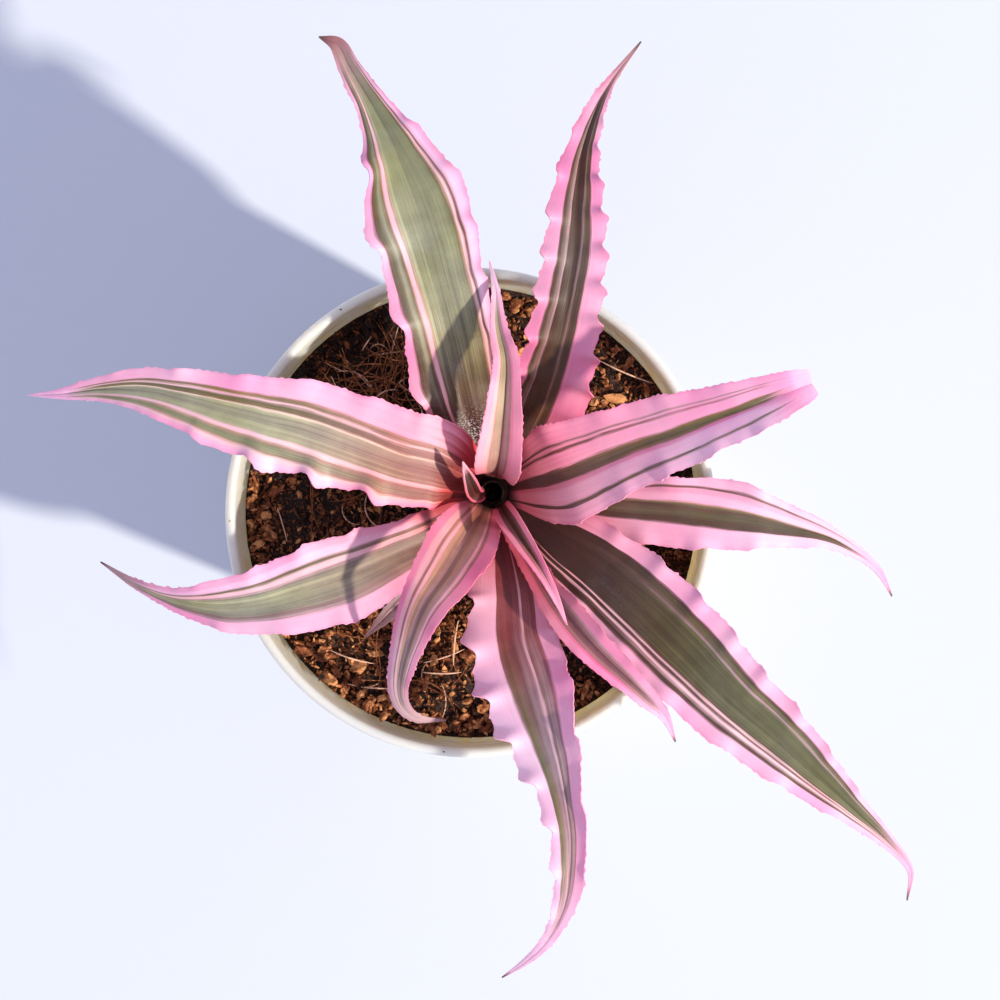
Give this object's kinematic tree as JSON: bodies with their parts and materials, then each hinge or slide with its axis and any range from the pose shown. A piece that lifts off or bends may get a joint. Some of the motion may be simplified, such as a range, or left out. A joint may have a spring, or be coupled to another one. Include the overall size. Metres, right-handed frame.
{
  "type": "potted earth star",
  "caption": "Earth star houseplant: a low rosette of waved, toothed, striped pink and olive leaves on a short stem, growing from brown soil in a plain round white pot.",
  "frame": {"origin": "on the pot's axis, on the plane that its foot ring stands on", "axes": "+Z up along the pot's axis; +Y is up in the picture, along the longest reach of the leaves; +X is right in the picture"},
  "size_m": [0.217, 0.2282, 0.1473],
  "materials": {
    "pot_white": "smooth white pot, satin gloss",
    "soil_brown": "loose damp soil of bark chips and coconut fibre, no gloss",
    "stem_red_brown": "fleshy stem, dull",
    "leaf_pale_green": "pale green leaf with pink margins, satin with fine scurf",
    "leaf_olive": "olive leaf with pink margins, satin with fine scurf",
    "leaf_brown": "brown leaf with pink margins, satin with fine scurf",
    "leaf_rose": "rose leaf with green-brown stripes, satin with fine scurf",
    "leaf_withered": "dried leaf, dull grey purple"
  },
  "bodies": {
    "root": {"pot": "pot_white", "soil": "soil_brown", "stem": "stem_red_brown", "leaf_top_left": "leaf_pale_green", "leaf_top_right": "leaf_brown", "leaf_inner_top": "leaf_rose", "leaf_right": "leaf_rose", "leaf_right_low": "leaf_olive", "leaf_lower_right": "leaf_olive", "leaf_lower_right_narrow": "leaf_rose", "leaf_bottom": "leaf_rose", "leaf_inner_fold": "leaf_rose", "leaf_inner_lower_left": "leaf_olive", "leaf_lower_left": "leaf_pale_green", "leaf_left": "leaf_pale_green", "leaf_innermost": "leaf_brown", "leaf_withered": "leaf_withered"}
  },
  "joints": []
}
